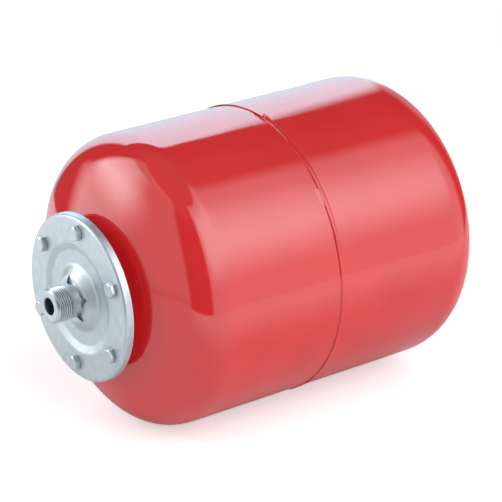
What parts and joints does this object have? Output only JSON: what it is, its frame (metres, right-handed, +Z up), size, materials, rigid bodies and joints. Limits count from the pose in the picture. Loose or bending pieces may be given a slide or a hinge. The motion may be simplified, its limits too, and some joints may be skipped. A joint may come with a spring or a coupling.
{
  "type": "expansion tank",
  "caption": "Closed cylindrical expansion tank with domed ends, a bolted flange with a threaded water connection at one end, and an air valve under a push-on cover at the other.",
  "frame": {"origin": "centre of the end face of the threaded water connection", "axes": "+X along the tank's axis from the water connection to the air valve, +Z up with the tank lying on its side as pictured"},
  "size_m": [0.4717, 0.2822, 0.2827],
  "materials": {
    "red_paint": "gloss",
    "zinc_plate": "satin",
    "bladder_rubber": "matte",
    "seal_rubber": "matte",
    "seal_plastic": "satin",
    "brass": "satin",
    "spring_steel": "polished",
    "black_plastic": "satin"
  },
  "bodies": {
    "tank": {"front_shell": "red_paint", "rear_shell": "red_paint", "girth_weld": "red_paint", "neck_ring": "red_paint", "neck_weld": "red_paint", "flange_plate": "zinc_plate", "connection_nipple": "zinc_plate", "nipple_weld": "zinc_plate", "flange_bolts": "zinc_plate", "bladder": "bladder_rubber", "valve_boss": "red_paint", "boss_weld": "red_paint", "stem_gasket": "seal_rubber", "valve_stem": "brass", "core_barrel": "brass", "barrel_seal": "seal_plastic", "pin_spring": "spring_steel", "valve_cap": "black_plastic", "cap_seal": "seal_rubber", "valve_cover": "black_plastic"},
    "valve_pin": {"core_pin": "spring_steel", "pin_cup": "brass", "pin_seal": "seal_rubber"}
  },
  "joints": [
    {"name": "valve_pin_press", "type": "slide", "parent": "tank", "child": "valve_pin", "axis": [-1, 0, 0], "range_m": [0, 0.0018], "stiffness_N_per_m": 1500, "springref_m": -0.001, "deforming": ["pin_spring"]}
  ]
}
